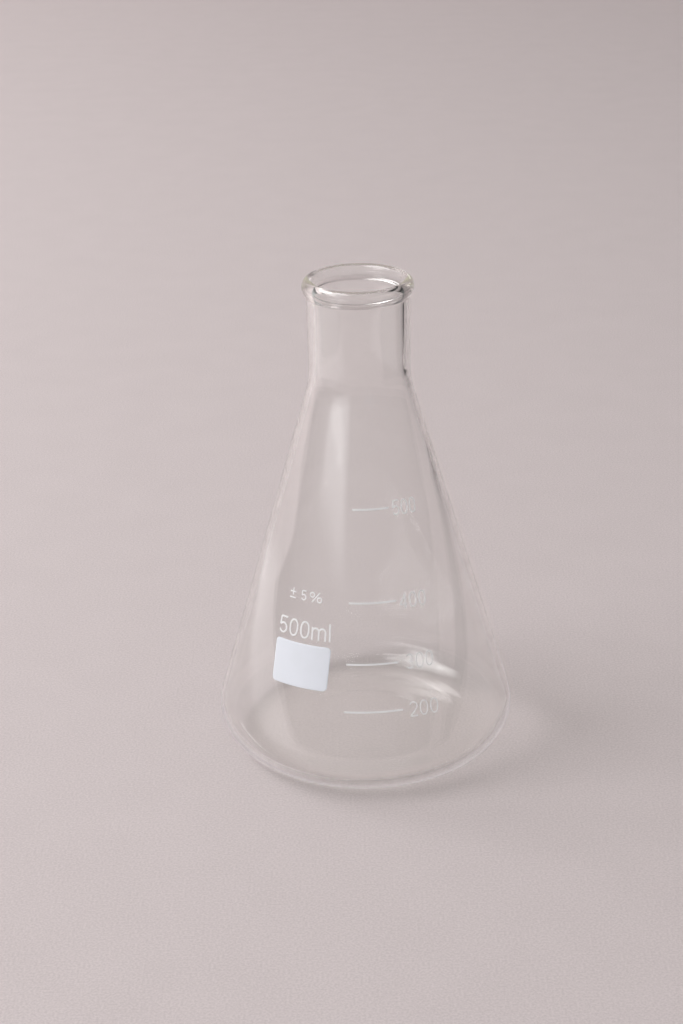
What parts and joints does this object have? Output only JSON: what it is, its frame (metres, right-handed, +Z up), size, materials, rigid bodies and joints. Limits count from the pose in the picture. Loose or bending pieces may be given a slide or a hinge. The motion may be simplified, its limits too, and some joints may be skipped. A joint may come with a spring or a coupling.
{
  "type": "erlenmeyer flask",
  "caption": "Conical laboratory flask of clear glass with a narrow cylindrical neck, a beaded rim, a printed volume scale and a white spot to write on.",
  "frame": {"origin": "centre of the circle the flask stands on, in the plane of its foot ring", "axes": "+Z up along the axis of the neck, -Y towards the printed side, +X to the right as the print is read"},
  "size_m": [0.105, 0.105, 0.17],
  "materials": {
    "glass": "clear borosilicate glass, fire-polished",
    "enamel": "white fired enamel, satin"
  },
  "bodies": {
    "root": {"flask_glass": "glass", "marking_spot": "enamel", "scale_line_500": "enamel", "scale_line_400": "enamel", "scale_line_300": "enamel", "scale_line_200": "enamel", "scale_500_place_1_digit_5": "enamel", "scale_500_place_2_digit_0": "enamel", "scale_500_place_3_digit_0": "enamel", "scale_400_place_1_digit_4": "enamel", "scale_400_place_2_digit_0": "enamel", "scale_400_place_3_digit_0": "enamel", "scale_300_place_1_digit_3": "enamel", "scale_300_place_2_digit_0": "enamel", "scale_300_place_3_digit_0": "enamel", "scale_200_place_1_digit_2": "enamel", "scale_200_place_2_digit_0": "enamel", "scale_200_place_3_digit_0": "enamel", "capacity_digit_5": "enamel", "capacity_digit_0_left": "enamel", "capacity_digit_0_right": "enamel", "capacity_letter_m": "enamel", "capacity_letter_l": "enamel", "tolerance_minus": "enamel", "tolerance_plus": "enamel", "tolerance_digit_5": "enamel", "percent_slash": "enamel", "percent_ring_lower": "enamel", "percent_ring_upper": "enamel"}
  },
  "joints": []
}
